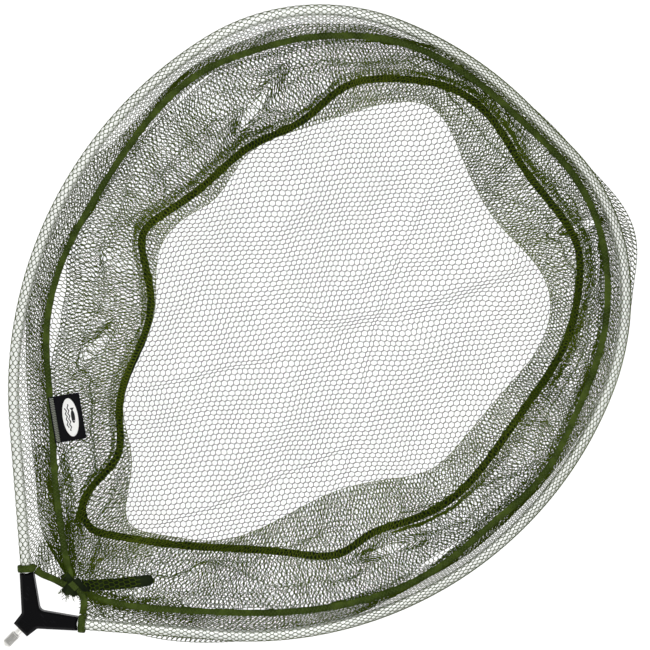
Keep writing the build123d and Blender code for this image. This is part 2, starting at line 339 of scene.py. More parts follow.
def tape_paint(name, color, highlight_tone):
    """Knitted binding: rows of small stitches that lean to and fro across the tape."""
    m = Paint(name, color, 0.8, 0.0, Specular_Ior_Level=0.12)
    u, v, _ = m.axes(m.place("UV"))
    lean = (v * (1 / 0.0011)).wave().do("SUBTRACT", 0.5).abs()
    row = (u * (1 / 0.0012) + lean * 0.9).wave().do("SUBTRACT", 0.5).abs()
    column = (v * (1 / 0.0011)).wave().do("SUBTRACT", 0.5).abs()
    stitch = (row * 2.0).between(0.15, 0.9) * (column * 2.0).between(1.0, 0.2, 0.35, 1.0)
    at = m.place()
    fuzz = m.grain(at, 2200.0, 2.0)
    patch = m.grain(at, 45.0, 3.0).between(0.36, 0.66)
    shade = m.grain(at, 85.0, 2.0).between(0.38, 0.6, 0.45, 1.0)
    tone = m.mix(stitch, tuple(c * 0.28 for c in color), color)
    # random patches of the second, lighter tone are painted highlight, and the shade patches darken the tape
    # towards a third of its colour as painted shade
    lit = m.mix(patch * 0.6 + fuzz * 0.2, tone, highlight_tone)
    m.set("Base Color", m.mix(shade, tuple(c * 0.35 for c in color), lit))
    m.set("Roughness", fuzz.between(0.2, 0.8, 0.68, 0.9))
    m.bump(stitch + fuzz * 0.3, 0.0005, 0.9)
    return m


# netting colours: each second colour is a lighter tone, painted highlight; the wall copy is lighter as
# painted light on the top fold, the lower copy darker as painted shade on the folds and rolls beneath
NET = net_paint("olive netting", (0.048, 0.070, 0.006), (0.080, 0.110, 0.014))
NET_PAINTED_LIGHT = net_paint("olive top netting, painted light", (0.072, 0.100, 0.005), (0.115, 0.150, 0.013))
NET_PAINTED_SHADE = net_paint("olive lower netting, painted shade", (0.032, 0.054, 0.003), (0.066, 0.098, 0.008))
NET_BASE = net_paint("olive base netting", (0.034, 0.039, 0.020), (0.058, 0.064, 0.038))
# tapes: each second colour is painted highlight
TAPE = tape_paint("olive binding tape", (0.050, 0.084, 0.008), (0.095, 0.140, 0.020))
SEAM_TAPE = tape_paint("base binding tape", (0.009, 0.017, 0.003), (0.022, 0.037, 0.007))

THREAD = Paint("sewing thread", (0.060, 0.090, 0.014), 0.6, 0.0, Specular_Ior_Level=0.15)
ply = THREAD.node("TexWave", "Fac", Vector=THREAD.place(), Scale=1200.0, bands_direction="DIAGONAL")
DARK_THREAD = Paint("dark sewing thread", (0.012, 0.021, 0.004), 0.7, 0.0, Specular_Ior_Level=0.1)
THREAD.set("Base Color", THREAD.mix(ply, (0.030, 0.050, 0.006), (0.085, 0.125, 0.020)))
THREAD.bump(ply, 0.0001, 0.6)

LABEL_THREAD = Paint("label sewing thread", (0.32, 0.34, 0.28), 0.6, 0.0, Specular_Ior_Level=0.2)
ply = LABEL_THREAD.node(
    "TexWave", "Fac", Vector=LABEL_THREAD.place(), Scale=1200.0, bands_direction="DIAGONAL"
)
LABEL_THREAD.set("Base Color", LABEL_THREAD.mix(ply, (0.24, 0.26, 0.20), (0.42, 0.44, 0.38)))

# hoop: satin anodised tube, drawn lines along it and a few rubbed places
HOOP_METAL = Paint("satin aluminium", (0.88, 0.90, 0.87), 0.42, 1.0)
m = HOOP_METAL
drawn = m.grain(m.stretch(m.place("UV"), 14.0, 2600.0, 1.0), 1.0, 3.0)
cloud = m.grain(m.place(), 26.0, 3.0)
rub = m.grain(m.place(), 170.0, 2.0).between(0.62, 0.72)
m.set("Base Color", m.mix(cloud, (0.90, 0.92, 0.88), (0.96, 0.97, 0.94)))
m.set("Roughness", drawn * 0.16 + rub * 0.10 + 0.36)
m.bump(drawn, 0.00003, 0.5)

# stud: turned aluminium, with rings round it and painted shade darkening the roots between the crests
STUD_METAL = Paint("turned aluminium", (0.78, 0.77, 0.74), 0.3, 1.0)
m = STUD_METAL
ring = m.grain(m.stretch(m.place("UV"), 9000.0, 6.0, 1.0), 1.0, 2.0)
depth = m.node("Attribute", "Fac", attribute_name="depth")
stain = m.grain(m.place(), 420.0, 3.0).between(0.42, 0.7)
bright = m.mix(stain * 0.5, (0.82, 0.81, 0.78), (0.55, 0.54, 0.50))
# painted shade: the colour darkens to near black with the thread's cut depth
m.set("Base Color", m.mix(depth * 0.9, bright, (0.10, 0.098, 0.09)))
m.set("Roughness", ring * 0.16 + depth * 0.2 + 0.2)
m.bump(ring, 0.00003, 0.5)

# yoke: glossy black moulding, fine grain, scuffs on the arrises
YOKE = Paint("black moulded plastic", (0.002, 0.002, 0.0025), 0.25, 0.0, Specular_Ior_Level=0.06)
m = YOKE
at = m.place()
grain = m.grain(at, 900.0, 3.0)
flow = m.grain(m.stretch(at, 1.0, 0.35, 1.0), 60.0, 3.0)
scratch = m.grain(m.stretch(at, 90.0, 900.0, 400.0), 1.0, 2.0).between(0.66, 0.74)
m.set("Roughness", grain * 0.08 + flow.between(0.4, 0.7, 0.0, 0.12) + scratch * 0.2 + 0.2)
m.set("Base Color", m.mix(scratch, (0.002, 0.002, 0.0026), (0.011, 0.011, 0.013)))
m.bump(grain, 0.00004, 0.35)
m.bump(flow, 0.0006, 0.12)


def weave(m, u, v, pitch, deep=0.0001):
    """Satin weave from a piece's own UVs, in metres."""
    warp = (u * (1 / pitch)).wave().do("SUBTRACT", 0.5).abs() * 2.0
    weft = (v * (1 / pitch) + (u * (1 / pitch)).do("FLOOR") * 0.25).wave()
    weft = weft.do("SUBTRACT", 0.5).abs() * 2.0
    cloth = warp.between(0.0, 0.9) * 0.6 + weft.between(0.1, 0.8) * 0.4
    m.bump(cloth, deep, 0.8)
    return cloth


LABEL = Paint("black woven label", (0.004, 0.004, 0.005), 0.75, 0.0, Specular_Ior_Level=0.04)
m = LABEL
u, v, _ = m.axes(m.place("UV"))
cloth = weave(m, u, v, 0.00042)
m.set("Base Color", m.mix(cloth, (0.0018, 0.0018, 0.0022), (0.0075, 0.0075, 0.009)))
m.set("Roughness", cloth.between(0.0, 1.0, 0.75, 0.5))

MOTIF = Paint("white woven motif", (0.80, 0.80, 0.78), 0.7, 0.0, Specular_Ior_Level=0.15)
m = MOTIF
u, v, _ = m.axes(m.place("UV"))
cloth = weave(m, u, v, 0.00042)
# a plain fish over two waves, in the label's black
ex, ey = u / 0.0150, v / 0.0058
fx, fy = ex + 0.02, ey - 0.36
body = (fx * fx / 0.115 + fy * fy / 0.065).do("LESS_THAN", 1.0)
tail = fy.abs().do("LESS_THAN", (fx * -1.0 - 0.28).most(0.0) * 1.5) * fx.over(-0.46)
eye = ((fx - 0.22) * (fx - 0.22) * 6.5 + (fy - 0.05) * (fy - 0.05)).do("LESS_THAN", 0.0035)
rows = []
for level, reach in ((-0.16, 0.70), (-0.50, 0.52)):
    wave = (ey - level + (ex * 22.0).sin() * 0.085).abs().do("LESS_THAN", 0.075)
    rows.append(wave * ex.abs().do("LESS_THAN", reach))
marks = (body + tail).least(1.0) * (eye * -1.0 + 1.0)
marks = (marks + rows[0] + rows[1]).least(1.0)
white = m.mix(cloth, (0.72, 0.72, 0.70), (0.92, 0.92, 0.90))
m.set("Base Color", m.mix(marks, white, (0.014, 0.014, 0.015)))


# ---- geometry ----
def mesh(name, verts, faces, mat, uvs=None, crease=None):
    me = bpy.data.meshes.new(name)
    me.from_pydata([tuple(v) for v in np.asarray(verts, float) * MM], [], faces)
    me.materials.append(mat.mat)
    if uvs is not None:
        layer = me.uv_layers.new(name="UVMap")
        loops = np.empty(len(me.loops), int)
        me.loops.foreach_get("vertex_index", loops)
        layer.data.foreach_set("uv", (np.asarray(uvs, float)[loops] * MM).ravel())
    me.polygons.foreach_set("use_smooth", [True] * len(me.polygons))
    me.update()
    if crease:
        me.set_sharp_from_angle(angle=math.radians(crease))
    ob = bpy.data.objects.new(name, me)
    bpy.context.scene.collection.objects.link(ob)
    return ob


def grid(rows, cols, wrap_rows=False, wrap_cols=False):
    """Quads of a rows by cols grid of vertices."""
    faces = []
    for r in range(rows if wrap_rows else rows - 1):
        for c in range(cols if wrap_cols else cols - 1):
            a, b = r * cols + c, r * cols + (c + 1) % cols
            e, d = ((r + 1) % rows) * cols + c, ((r + 1) % rows) * cols + (c + 1) % cols
            faces.append((a, b, d, e))
    return faces


def caps(rows, cols):
    first, end = list(range(cols)), list(range((rows - 1) * cols, rows * cols))
    return [tuple(first[::-1]), tuple(end)]


def swept(name, path, side, section, mat, closed=False, crease=None):
    """Sweeps a closed section along path. side is a unit vector at each sample, and up is +Z."""
    n = len(path)
    up = np.tile([0.0, 0.0, 1.0], (n, 1))
    sec = np.asarray(section, float)
    if sec.ndim == 2:
        sec = np.tile(sec, (n, 1, 1))
    k = sec.shape[1]
    v = path[:, None, :] + side[:, None, :] * sec[:, :, :1] + up[:, None, :] * sec[:, :, 1:2]
    step = np.linalg.norm(np.diff(path, axis=0), axis=1)
    s = np.concatenate([[0], np.cumsum(step)])
    ring = np.concatenate([[0], np.cumsum(np.linalg.norm(np.diff(sec[0], axis=0), axis=1))])
    uv = np.stack([np.repeat(s, k), np.tile(ring, n)], -1)
    faces = grid(n, k, wrap_rows=closed, wrap_cols=True)
    if not closed:
        faces += caps(n, k)
    ob = mesh(name, v.reshape(-1, 3), faces, mat, uv, crease=crease)
    outward(ob)
    return ob


def outward(ob):
    """Turns the faces so that their normals point out."""
    bm = bmesh.new()
    bm.from_mesh(ob.data)
    bmesh.ops.recalc_face_normals(bm, faces=bm.faces)
    bm.to_mesh(ob.data)
    bm.free()


def lozenge(width, thick, n=4, power=2.6):
    """A flat oval section, squarer than an ellipse."""
    pts = []
    for k in range(4 * n):
        a = 2 * math.pi * k / (4 * n)
        c, s = math.cos(a), math.sin(a)
        x = math.copysign(abs(c) ** (2 / power), c) * width / 2
        z = math.copysign(abs(s) ** (2 / power), s) * thick / 2
        pts.append((x, z))
    return pts


def fit(ob, body, slot, *nodes):
    """Says which body a piece rides and hides the CAD nodes it stands for. Its paint slot is not used."""
    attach(ob, body)
    if nodes:
        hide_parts(*nodes)


def strand_nodes():
    """Geometry nodes: each loose edge becomes a strand with a flat section of Sides sides."""
    tree = bpy.data.node_groups.new("Strands", "GeometryNodeTree")
    face = tree.interface
    face.new_socket("Geometry", in_out="INPUT", socket_type="NodeSocketGeometry")
    for name, value in (("Half Width", 0.0003), ("Half Thickness", 0.0003)):
        s = face.new_socket(name, in_out="INPUT", socket_type="NodeSocketFloat")
        s.default_value = value
    face.new_socket("Sides", in_out="INPUT", socket_type="NodeSocketInt")
    face.new_socket("Material", in_out="INPUT", socket_type="NodeSocketMaterial")
    face.new_socket("Geometry", in_out="OUTPUT", socket_type="NodeSocketGeometry")
    new, link = tree.nodes.new, tree.links.new
    gin, gout = new("NodeGroupInput"), new("NodeGroupOutput")
    radius = new("GeometryNodeInputNamedAttribute")
    radius.data_type = "FLOAT"
    radius.inputs["Name"].default_value = "weight"
    curve = new("GeometryNodeMeshToCurve")
    size = new("GeometryNodeSetCurveRadius")
    up = new("GeometryNodeSetCurveNormal")
    if "Mode" in up.inputs:
        up.inputs["Mode"].default_value = "Z Up"
    else:
        up.mode = "Z_UP"
    ring = new("GeometryNodeCurvePrimitiveCircle")
    link(gin.outputs["Sides"], ring.inputs["Resolution"])
    ring.inputs["Radius"].default_value = 1.0
    shape = new("ShaderNodeCombineXYZ")
    shape.inputs[2].default_value = 1.0
    flat = new("GeometryNodeTransform")
    tube = new("GeometryNodeCurveToMesh")
    real = new("GeometryNodeRealizeInstances")
    paint = new("GeometryNodeSetMaterial")
    link(gin.outputs["Geometry"], curve.inputs[0])
    link(curve.outputs[0], size.inputs["Curve"])
    link(radius.outputs[0], size.inputs["Radius"])
    link(size.outputs[0], up.inputs["Curve"])
    link(gin.outputs["Half Width"], shape.inputs[0])
    link(gin.outputs["Half Thickness"], shape.inputs[1])
    link(ring.outputs["Curve"], flat.inputs["Geometry"])
    link(shape.outputs[0], flat.inputs["Scale"])
    link(up.outputs[0], tube.inputs["Curve"])
    link(flat.outputs[0], tube.inputs["Profile Curve"])
    if "Scale" in tube.inputs:
        rad = new("GeometryNodeInputRadius")
        link(rad.outputs[0], tube.inputs["Scale"])
    link(tube.outputs[0], real.inputs[0])
    link(real.outputs[0], paint.inputs["Geometry"])
    link(gin.outputs["Material"], paint.inputs["Material"])
    link(paint.outputs[0], gout.inputs[0])
    return tree


STRANDS = strand_nodes()


def strands(name, ends, weight, half, mat, sides=4):
    """ends is (n, 2, 3) in millimetres: n straight strands, weight their relative thickness."""
    ends = np.asarray(ends, float)
    n = len(ends)
    me = bpy.data.meshes.new(name + " lines")
    edges = np.arange(2 * n).reshape(-1, 2)
    me.from_pydata((ends.reshape(-1, 3) * MM).tolist(), edges.tolist(), [])
    a = me.attributes.new("weight", "FLOAT", "POINT")
    a.data.foreach_set("value", np.repeat(np.asarray(weight, np.float32), 2))
    src = bpy.data.objects.new(name, me)
    bpy.context.scene.collection.objects.link(src)
    mod = src.modifiers.new("Strands", "NODES")
    mod.node_group = STRANDS
    ids = {i.name: i.identifier for i in STRANDS.interface.items_tree if i.in_out == "INPUT"}
    mod[ids["Half Width"]] = half[0] * MM
    mod[ids["Half Thickness"]] = half[1] * MM
    mod[ids["Sides"]] = sides
    mod[ids["Material"]] = mat.mat
    bpy.context.view_layer.update()
    dg = bpy.context.evaluated_depsgraph_get()
    done = bpy.data.meshes.new_from_object(src.evaluated_get(dg))
    src.modifiers.remove(mod)
    for a in list(done.attributes):
        if a.name in ("weight", "radius", "tilt"):
            done.attributes.remove(a)
    src.data = done
    done.name = name
    if not done.materials:
        done.materials.append(mat.mat)
    bpy.data.meshes.remove(me)
    return src


def hex_edges(cols, rows, half):
    """A honeycomb in units of one cell: joints stand along q, legs run between them.
    Gives (n, 2, 2) edge ends as (p, q) and which edges are joints."""
    joint, legs = [], []
    for j in range(rows):
        for i in range(cols):
            p = i + 0.5 * (j % 2)
            q = j * 1.0
            joint.append(((p, q - half), (p, q + half)))
            for dp in (-0.5, 0.5):
                legs.append(((p, q + half), (p + dp, q + 1 - half)))
    ends = np.array(joint + legs, float)
    return ends, np.arange(len(ends)) < len(joint)


# ---- yoke ----
way = heading(ARM_ANGLE)
side = np.array([math.cos(math.radians(ARM_ANGLE)), -math.sin(math.radians(ARM_ANGLE))])
tip = np.array(ARM_TIP)
root, neck, crotch_y = np.array([11.0, 19.1]), np.array([9.35, 6.3]), 33.6


def rounded(a, b, c, r, n=8):
    """Arc of radius r in the corner a-b-c."""
    u, v = (a - b) / np.linalg.norm(a - b), (c - b) / np.linalg.norm(c - b)
    half = math.acos(np.clip(u @ v, -1, 1)) / 2
    reach = r / math.tan(half)
    mid = b + (u + v) / np.linalg.norm(u + v) * r / math.sin(half)
    p, q = b + u * reach - mid, b + v * reach - mid
    a0, a1 = math.atan2(p[1], p[0]), math.atan2(q[1], q[0])
    d = (a1 - a0 + math.pi) % (2 * math.pi) - math.pi
    return [mid + r * np.array([math.cos(a0 + d * t), math.sin(a0 + d * t)])
            for t in np.linspace(0, 1, n)]


outer, inner = tip + side * 6.75, tip - side * 6.75
crotch = np.array([0, crotch_y])
half_plan = [neck] + rounded(neck, root, outer, 3.0) + [outer, inner]
plan = half_plan + rounded(inner, crotch, inner * [-1, 1], 6.0, 13)
plan += [p * [-1, 1] for p in half_plan[::-1]]
plan = np.array(plan)


def inset(loop, d):
    """The loop moved inwards, with mitred corners (the loop runs anticlockwise)."""
    before, after = np.roll(loop, 1, axis=0), np.roll(loop, -1, axis=0)
    e0 = (loop - before) / np.linalg.norm(loop - before, axis=1, keepdims=True)
    e1 = (after - loop) / np.linalg.norm(after - loop, axis=1, keepdims=True)
    n0, n1 = np.stack([-e0[:, 1], e0[:, 0]], -1), np.stack([-e1[:, 1], e1[:, 0]], -1)
    m = (n0 + n1) / np.maximum(1 + (n0 * n1).sum(1, keepdims=True), 0.2)
    return loop + m * d


# how far each level of the yoke lies inside its plan, and its height
levels = [(3.55, -8.0), (3.1, -7.86), (0.34, -5.0), (0.0, -4.4), (0.0, -0.22), (0.12, -0.1)]
levels += [(0.12, 0.1), (0.0, 0.22), (0.0, 4.4), (0.34, 5.0), (3.1, 7.86), (3.55, 8.0)]
verts = np.vstack([np.column_stack([inset(plan, d), np.full(len(plan), z)]) for d, z in levels])
faces = grid(len(levels), len(plan), wrap_cols=True) + caps(len(levels), len(plan))
yoke = mesh("yoke", verts, faces, YOKE)
outward(yoke)
bev = yoke.modifiers.new("Soft arrises", "BEVEL")
bev.width, bev.segments, bev.limit_method, bev.angle_limit = 0.0005, 3, "ANGLE", math.radians(28)
dg = bpy.context.evaluated_depsgraph_get()
smooth_yoke = bpy.data.meshes.new_from_object(yoke.evaluated_get(dg))
yoke.modifiers.remove(bev)
yoke.data = smooth_yoke
yoke.data.polygons.foreach_set("use_smooth", [True] * len(yoke.data.polygons))
yoke.data.set_sharp_from_angle(angle=math.radians(32))
fit(yoke, "head", "yoke_plastic", "yoke_block")

# ---- stud with its helical thread ----
R, DEPTH, PITCH, LENGTH = 4.7625, 0.81, 1.27, 13.12
around = 72
ys, prof = [], []
for y in np.linspace(9.0, 6.9, 3):
    ys.append(y), prof.append(3.3)
ys += [6.3, 3.0, 1.2, 0.6, 0.15]
prof += [3.3, 3.3, 3.3, 3.45, 4.0]
fine = np.linspace(0.0, -LENGTH, 150)
ys += list(fine)
prof += [R] * len(fine)
nose_r = (R * R + 3.2 * 3.2) / (2 * 3.2)
for t in np.linspace(0.06, 1.0, 14):
    a = math.asin(R / nose_r) * (1 - t)
    ys.append(-LENGTH - 3.2 + nose_r * (1 - math.cos(a)))
    prof.append(max(nose_r * math.sin(a), 0.02))
theta = np.arange(around) * 2 * math.pi / around
verts, deep = [], []
for y, r in zip(ys, prof):
    turn = (y / PITCH - theta / (2 * math.pi)) % 1.0
    cut = np.clip(1 - np.abs(turn - 0.5) / 0.36, 0, 1)
    threaded = -LENGTH <= y <= 0
    fade = np.clip(-y / 1.3, 0, 1) * np.clip((LENGTH + y) / 0.9 + 0.25, 0, 1) if threaded else 0.0
    drop = DEPTH * cut * fade
    rr = r - drop
    verts.append(np.column_stack([rr * np.cos(theta), np.full(around, y), rr * np.sin(theta)]))
    deep.append(drop / DEPTH)
uv = np.array([[y, t * R] for y in ys for t in theta])
faces = grid(len(ys), around, wrap_cols=True) + caps(len(ys), around)
stud = mesh("threaded_stud", np.vstack(verts), faces, STUD_METAL, uv, crease=40)
outward(stud)
a = stud.data.attributes.new("depth", "FLOAT", "POINT")
a.data.foreach_set("value", np.concatenate(deep).astype(np.float32))
fit(stud, "head", "stud_metal", "handle_stud")

# ---- hoop tube ----
s = np.linspace(0, HOOP.length, 640)
path = np.column_stack([HOOP.at(s), np.zeros(len(s))])
across = np.column_stack([HOOP.left(s), np.zeros(len(s))])
circle = [(TUBE_R * math.cos(a), TUBE_R * math.sin(a)) for a in np.arange(28) * 2 * math.pi / 28]
hoop = swept("hoop", path, across, circle, HOOP_METAL, crease=60)
fit(hoop, "head", "hoop_metal", "hoop_tube")


# ---- tapes ----
def tape(name, run, s, z, width, thick, mat, closed, groove=0.16, wave=0.25, seed=1.0, dip=2.6):
    """Folded binding with a soft edge, a shallow valley under its seam and a little waviness."""
    xy, n = run.at(s), run.left(s, 3.0)
    w = wobble(xy, 9.0, seed)
    top = np.full(len(s), z) + wave * 0.35 * wobble(xy, 16.0, seed + 5)
    sec = []
    for k in range(len(s)):
        one = np.array(lozenge(width * (1 + 0.09 * w[k]), thick, 4))
        valley = groove * np.exp(-((np.abs(one[:, 0]) - width * 0.18) / (width * 0.16)) ** 2)
        one[:, 1] -= np.sign(one[:, 1]) * valley * (one[:, 1] > 0)
        sec.append(one)
    if not closed:
        top = top - dip * np.exp(-(np.minimum(s, s[-1] - s) / 16.0) ** 2)
    path = np.column_stack([xy, top])
    side = np.column_stack([n, np.zeros(len(s))])
    return swept(name, path, side, np.array(sec), mat, closed=closed)


s = np.arange(0, RIM.length, 1.6)
rim = tape("rim_binding", RIM, s, -1.9, 6.6, 2.3, TAPE, False, seed=2.0)
fit(rim, "head", "tape", "rim_tape")

s = np.arange(0, BASE.length - 0.8, 1.6)
base_tape = tape("base_binding", BASE, s, -7.2, 7.6, 1.35, SEAM_TAPE, True, seed=7.0, wave=0.12)
fit(base_tape, "bag_floor", "tape", "base_tape")


def zigzag(run, start, stop, pitch, half, z, rise=0.0, wave=1.0, seed=0):
    """A zigzag seam: each leg one strand, with slightly uneven bites."""
    local = np.random.default_rng(seed)
    count = int((stop - start) / pitch)
    s = start + np.arange(count + 1) * pitch + local.normal(0, 0.08 * pitch, count + 1)
    reach = half + local.normal(0, 0.12, count + 1)
    sign = np.where(np.arange(count + 1) % 2 == 0, 1, -1) * reach
    xy = run.at(s) + run.left(s, 3.0) * sign[:, None]
    p = np.column_stack([xy, z + rise * wobble(xy, 16.0, wave)])
    mid = (p[:-1] + p[1:]) / 2 + [0, 0, 0.16]
    return np.concatenate([np.stack([p[:-1], mid], 1), np.stack([mid, p[1:]], 1)])


seam = zigzag(RIM, 30, RIM.length - 30, 1.9, 1.75, -0.80, 0.0875, 7.0, seed=3)
seam = strands("rim_seam", seam, np.ones(len(seam)), SEAM_THREAD, THREAD)
fit(seam, "head", "thread", "rim_stitching")
seam = zigzag(BASE, 4, BASE.length - 4, 2.2, 1.8, -6.60, 0.042, 12.0, seed=5)
seam = strands("base_seam", seam, np.ones(len(seam)), (0.24, 0.16), DARK_THREAD)
fit(seam, "bag_floor", "thread", "base_stitching")

# ---- base netting ----
CELL_P, CELL_Q, LEAN = 5.5, 4.76, math.radians(81.0)
CREASES = [
    # along the line, where the net is drawn together; width and pull in millimetres
    ([(-128, 200), (-60, 300), (-10, 380)], 7.0, 1.6),
    ([(23, 176), (62, 262), (98, 352)], 6.0, 1.8),
    ([(-20, 600), (40, 470), (70, 420), (115, 352)], 6.5, 1.5),
    ([(92, 606), (60, 520), (0, 440)], 16.0, 1.2),
]
SOFT = [Run(np.array(spline(c, False).p), False) for c, _, _ in CREASES]


def settle(xy, seed):
    """How a flat panel's points shift where it is creased and not quite smooth."""
    out = xy.copy()
    lift = np.zeros(len(xy))
    for run, (_, width, pull) in zip(SOFT, CREASES):
        p = run.p[::4]
        d = np.linalg.norm(xy[:, None] - p[None], axis=2)
        k = d.argmin(1)
        near = d[np.arange(len(xy)), k]
        t = run.along(run.s[::4][k], 3.0)
        nrm = np.stack([-t[:, 1], t[:, 0]], -1)
        sd = ((xy - p[k]) * nrm).sum(1)
        ends = np.exp(-((near - np.abs(sd)).clip(0) / 10.0) ** 2)
        squeeze = np.exp(-(sd / width) ** 2) * ends
        out -= nrm * (sd * squeeze * 0.42 * pull / 1.6)[:, None]
        lift += np.exp(-(sd / (width * 0.3)) ** 2) * ends * 0.5
    for scale, size, z in ((70.0, 3.2, 1.0), (24.0, 0.9, 2.0), (9.0, 0.22, 3.0)):
        out[:, 0] += size * wobble(xy, scale, seed + z)
        out[:, 1] += size * wobble(xy, scale, seed + z + 9.5)
    return out, lift


ends, joint = hex_edges(*BASE_CELLS, BASE_JOINT)
pq = ends.reshape(-1, 2) * [CELL_P, CELL_Q]
pq -= [BASE_CELLS[0] * CELL_P / 2, BASE_CELLS[1] * CELL_Q / 2]
ca, sa = math.sin(LEAN), -math.cos(LEAN)
xy = np.stack([pq[:, 0] * ca - pq[:, 1] * sa, pq[:, 0] * sa + pq[:, 1] * ca], -1) + [5.0, 410.0]
middle = xy.reshape(-1, 2, 2).mean(1)
keep = inside(BASE, middle)
xy, joint = xy.reshape(-1, 2, 2)[keep].reshape(-1, 2), joint[keep]
xy, lift = settle(xy, 3.0)
keep = inside(BASE, xy.reshape(-1, 2, 2).mean(1))
xyz = np.column_stack([xy, -7.62 + lift * 0.5])
weight = np.where(joint, *BASE_HEAVY)
base_net = strands("base_netting", xyz.reshape(-1, 2, 3)[keep], weight[keep],
                   BASE_YARN, NET_BASE)
fit(base_net, "bag_floor", "net", "base_net")

# ---- wall netting, in its four folds ----
Z_RIM, Z_BULGE, Z_FOLD, Z_BACK, Z_BASE = -3.2, -7.3, -4.1, -5.9, -6.95
AROUND = 400


def loop_at(run, u):
    return run.at(u * run.length)


def rim_at(u):
    """The rim tape's line, closed across the throat."""
    gap = 10.0
    s = u * (RIM.length + gap) - gap / 2
    xy = RIM.at(s)
    bridge = (s < 0) | (s > RIM.length)
    t = np.where(s < 0, (s + gap / 2) / gap + 0.5, (s - RIM.length) / gap)
    a, b = RIM.p[-1], RIM.p[0]
    return np.where(bridge[:, None], a + (b - a) * t[:, None], xy)


def back_at(u):
    """Where the wall folds outwards again, part of the way from base tape to rim tape."""
    a, b = loop_at(BASE, u), rim_at(u)
    angle = 2 * np.pi * u
    round_trip = np.stack([np.cos(angle), np.sin(angle)], -1) * 60
    share = 0.95 + 0.12 * wobble(round_trip, 26.0, 61.0) + 0.05 * wobble(round_trip, 8.0, 67.0)
    return a + (b - a) * np.clip(share, 0.72, 1.05)[:, None]


def pleats(p, seed, amount):
    """Columns crowd together in places, as loose netting does."""
    out = p.copy()
    for k, (count, size) in enumerate(((7, 0.5), (17, 0.6), (43, 0.5))):
        swing = np.sin(2 * np.pi * p * count / AROUND + seed + k)
        out += amount * size * AROUND / (2 * np.pi * count) * swing
    near = (p + AROUND / 2) % AROUND - AROUND / 2
    return out - near * 0.5 * np.exp(-(near / 14.0) ** 2)


# places where the lower folds part and only the top one is left, which are true holes in them:
# centre, long half, short half, angle
PARTED = [
    (-147, 261, 15, 3.6, 96), (-204, 541, 21, 4.0, 100), (112, 690, 20, 3.0, 62),
    (205, 325, 18, 3.0, 62),
]


def part(xy):
    """Moves points off each parted place, less and less out to three times its size."""
    out = xy.copy()
    for x, y, long, short, angle in PARTED:
        c, d = math.cos(math.radians(angle)), math.sin(math.radians(angle))
        dx, dy = out[:, 0] - x, out[:, 1] - y
        p, q = (dx * c + dy * d) / long, (-dx * d + dy * c) / short
        r = np.maximum(np.hypot(p, q), 0.02)
        push = np.where(r < 3, (1 + r * 2 / 3) / r, 1.0)
        p, q = p * long * push, q * short * push
        out[:, 0], out[:, 1] = x + p * c - q * d, y + p * d + q * c
    return out


def wall_layer(name, start, stop, rows, z0, z1, seed, amount, mat, bands, crowd=0.3):
    ends, joint = hex_edges(AROUND, rows, WALL_JOINT)
    p, q = ends.reshape(-1, 2).T
    across = np.clip((q + WALL_JOINT) / (rows - 0.44), 0, 1)
    mid = np.sin(np.pi * across)
    shift = pleats(p, seed, crowd) - p
    u = (p + shift * (0.35 + 0.65 * mid)) / AROUND % 1.0
    a, b = start(u), stop(u)
    phase = 3.0 * np.sin(2 * np.pi * 3 * u + seed) + 1.5 * np.sin(2 * np.pi * 7 * u + 2 * seed)
    across = across + bands * mid * np.sin(4 * np.pi * across + phase) / (4 * np.pi)
    slip = 0.07 * mid * np.interp(u, np.linspace(0, 1, 64), np.sin(np.arange(64) * 1.7 + seed))
    xy = a + (b - a) * (across + slip)[:, None]
    for scale, size in ((38.0, 1.0), (13.0, 0.45)):
        xy[:, 0] += mid ** 0.7 * amount * size * wobble(xy, scale, seed + scale)
        xy[:, 1] += mid ** 0.7 * amount * size * wobble(xy, scale, seed + scale + 5)
    if bands:
        xy = part(xy)
    z = z0 + (z1 - z0) * (across + 0.06 * mid * wobble(xy, 15.0, seed + 21))
    xyz = np.column_stack([xy, z]).reshape(-1, 2, 3)
    keep = np.linalg.norm(xyz[:, 0] - xyz[:, 1], axis=1) < 18
    weight = np.where(joint, *WALL_HEAVY)
    return strands(name, xyz[keep], weight[keep], WALL_YARN, mat, 3)


bulge_at, fold_at, base_at = (lambda u, r=r: loop_at(r, u) for r in (BULGE, FOLD, BASE))


def tie(ob, z0, w0, z1, w1):
    """Blends a fold between the head and the bag's floor, from share w0 at z0 to w1 at z1."""
    def back(w):
        low, high = 0.0, 1.0
        for _ in range(40):
            t = (low + high) / 2
            low, high = (t, high) if t * t * (3 - 2 * t) < w else (low, t)
        return (low + high) / 2
    t0, t1 = back(w0), back(w1)
    slope = (z1 - z0) / (t1 - t0)
    a, b = z0 - slope * t0, z0 + slope * (1 - t0)
    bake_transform(ob, "head", "bag_floor", (0, 0, a * MM), (0, 0, b * MM))


# name, where it starts and stops, rows, the two heights, seed, looseness, paint, bands,
# share of the drop at each height, flat width and length in metres, what it rests on
# the top fold takes the lighter netting as painted light, the outer, back and inner folds the darker netting
# as painted shade
FOLDS = (
    ("outer", rim_at, bulge_at, 7, Z_RIM, Z_BULGE, 4.0, 2.0, NET_PAINTED_SHADE, 0.0,
     (0.0, 0.22), (0.045, 2.25), "rim_binding"),
    ("top", bulge_at, fold_at, 25, Z_BULGE, Z_FOLD, 17.0, 3.2, NET_PAINTED_LIGHT, 0.0,
     (0.22, 0.55), (0.10, 2.25), "base_binding"),
    ("back", fold_at, back_at, 21, Z_FOLD, Z_BACK, 37.0, 4.0, NET_PAINTED_SHADE, 0.85,
     (0.55, 0.82), (0.10, 2.1), "base_binding"),
    ("inner", back_at, base_at, 17, Z_BACK, Z_BASE, 29.0, 3.5, NET_PAINTED_SHADE, 0.8,
     (0.82, 1.0), (0.085, 2.0), "base_binding"),
)
folds = []
